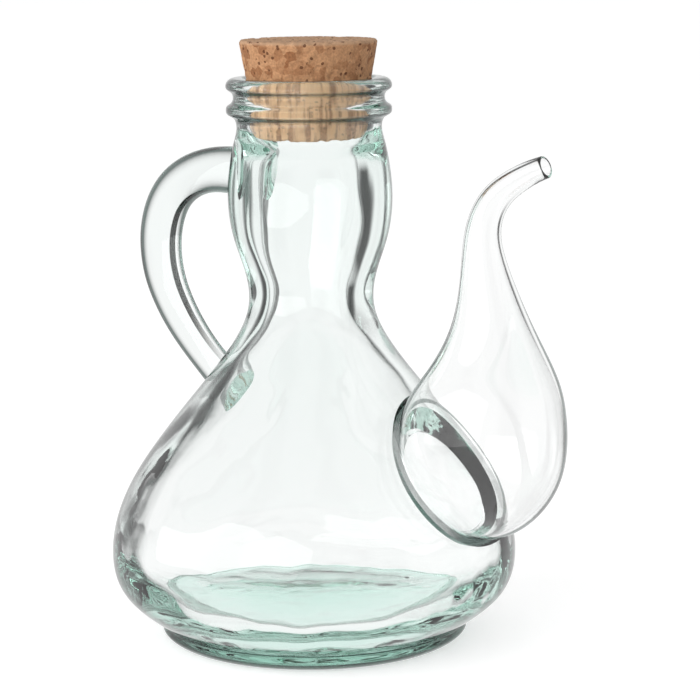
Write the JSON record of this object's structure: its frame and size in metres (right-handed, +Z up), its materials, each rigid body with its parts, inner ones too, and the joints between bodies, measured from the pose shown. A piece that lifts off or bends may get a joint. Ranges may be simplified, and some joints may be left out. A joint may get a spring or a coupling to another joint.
{
  "type": "oil bottle",
  "caption": "Empty blown-glass oil bottle with a bell-shaped body, looped handle, bulbous side spout and tapered cork stopper.",
  "frame": {"origin": "centre of the foot on the plane the bottle stands on", "axes": "+Z up along the body's axis, +X towards the spout, -X towards the handle"},
  "size_m": [0.1478, 0.1222, 0.18],
  "materials": {
    "glass": "clear, pale sea green where thick",
    "cork": "matte agglomerated cork"
  },
  "bodies": {
    "root": {"bottle_glass": "glass", "cork": "cork"}
  },
  "joints": []
}
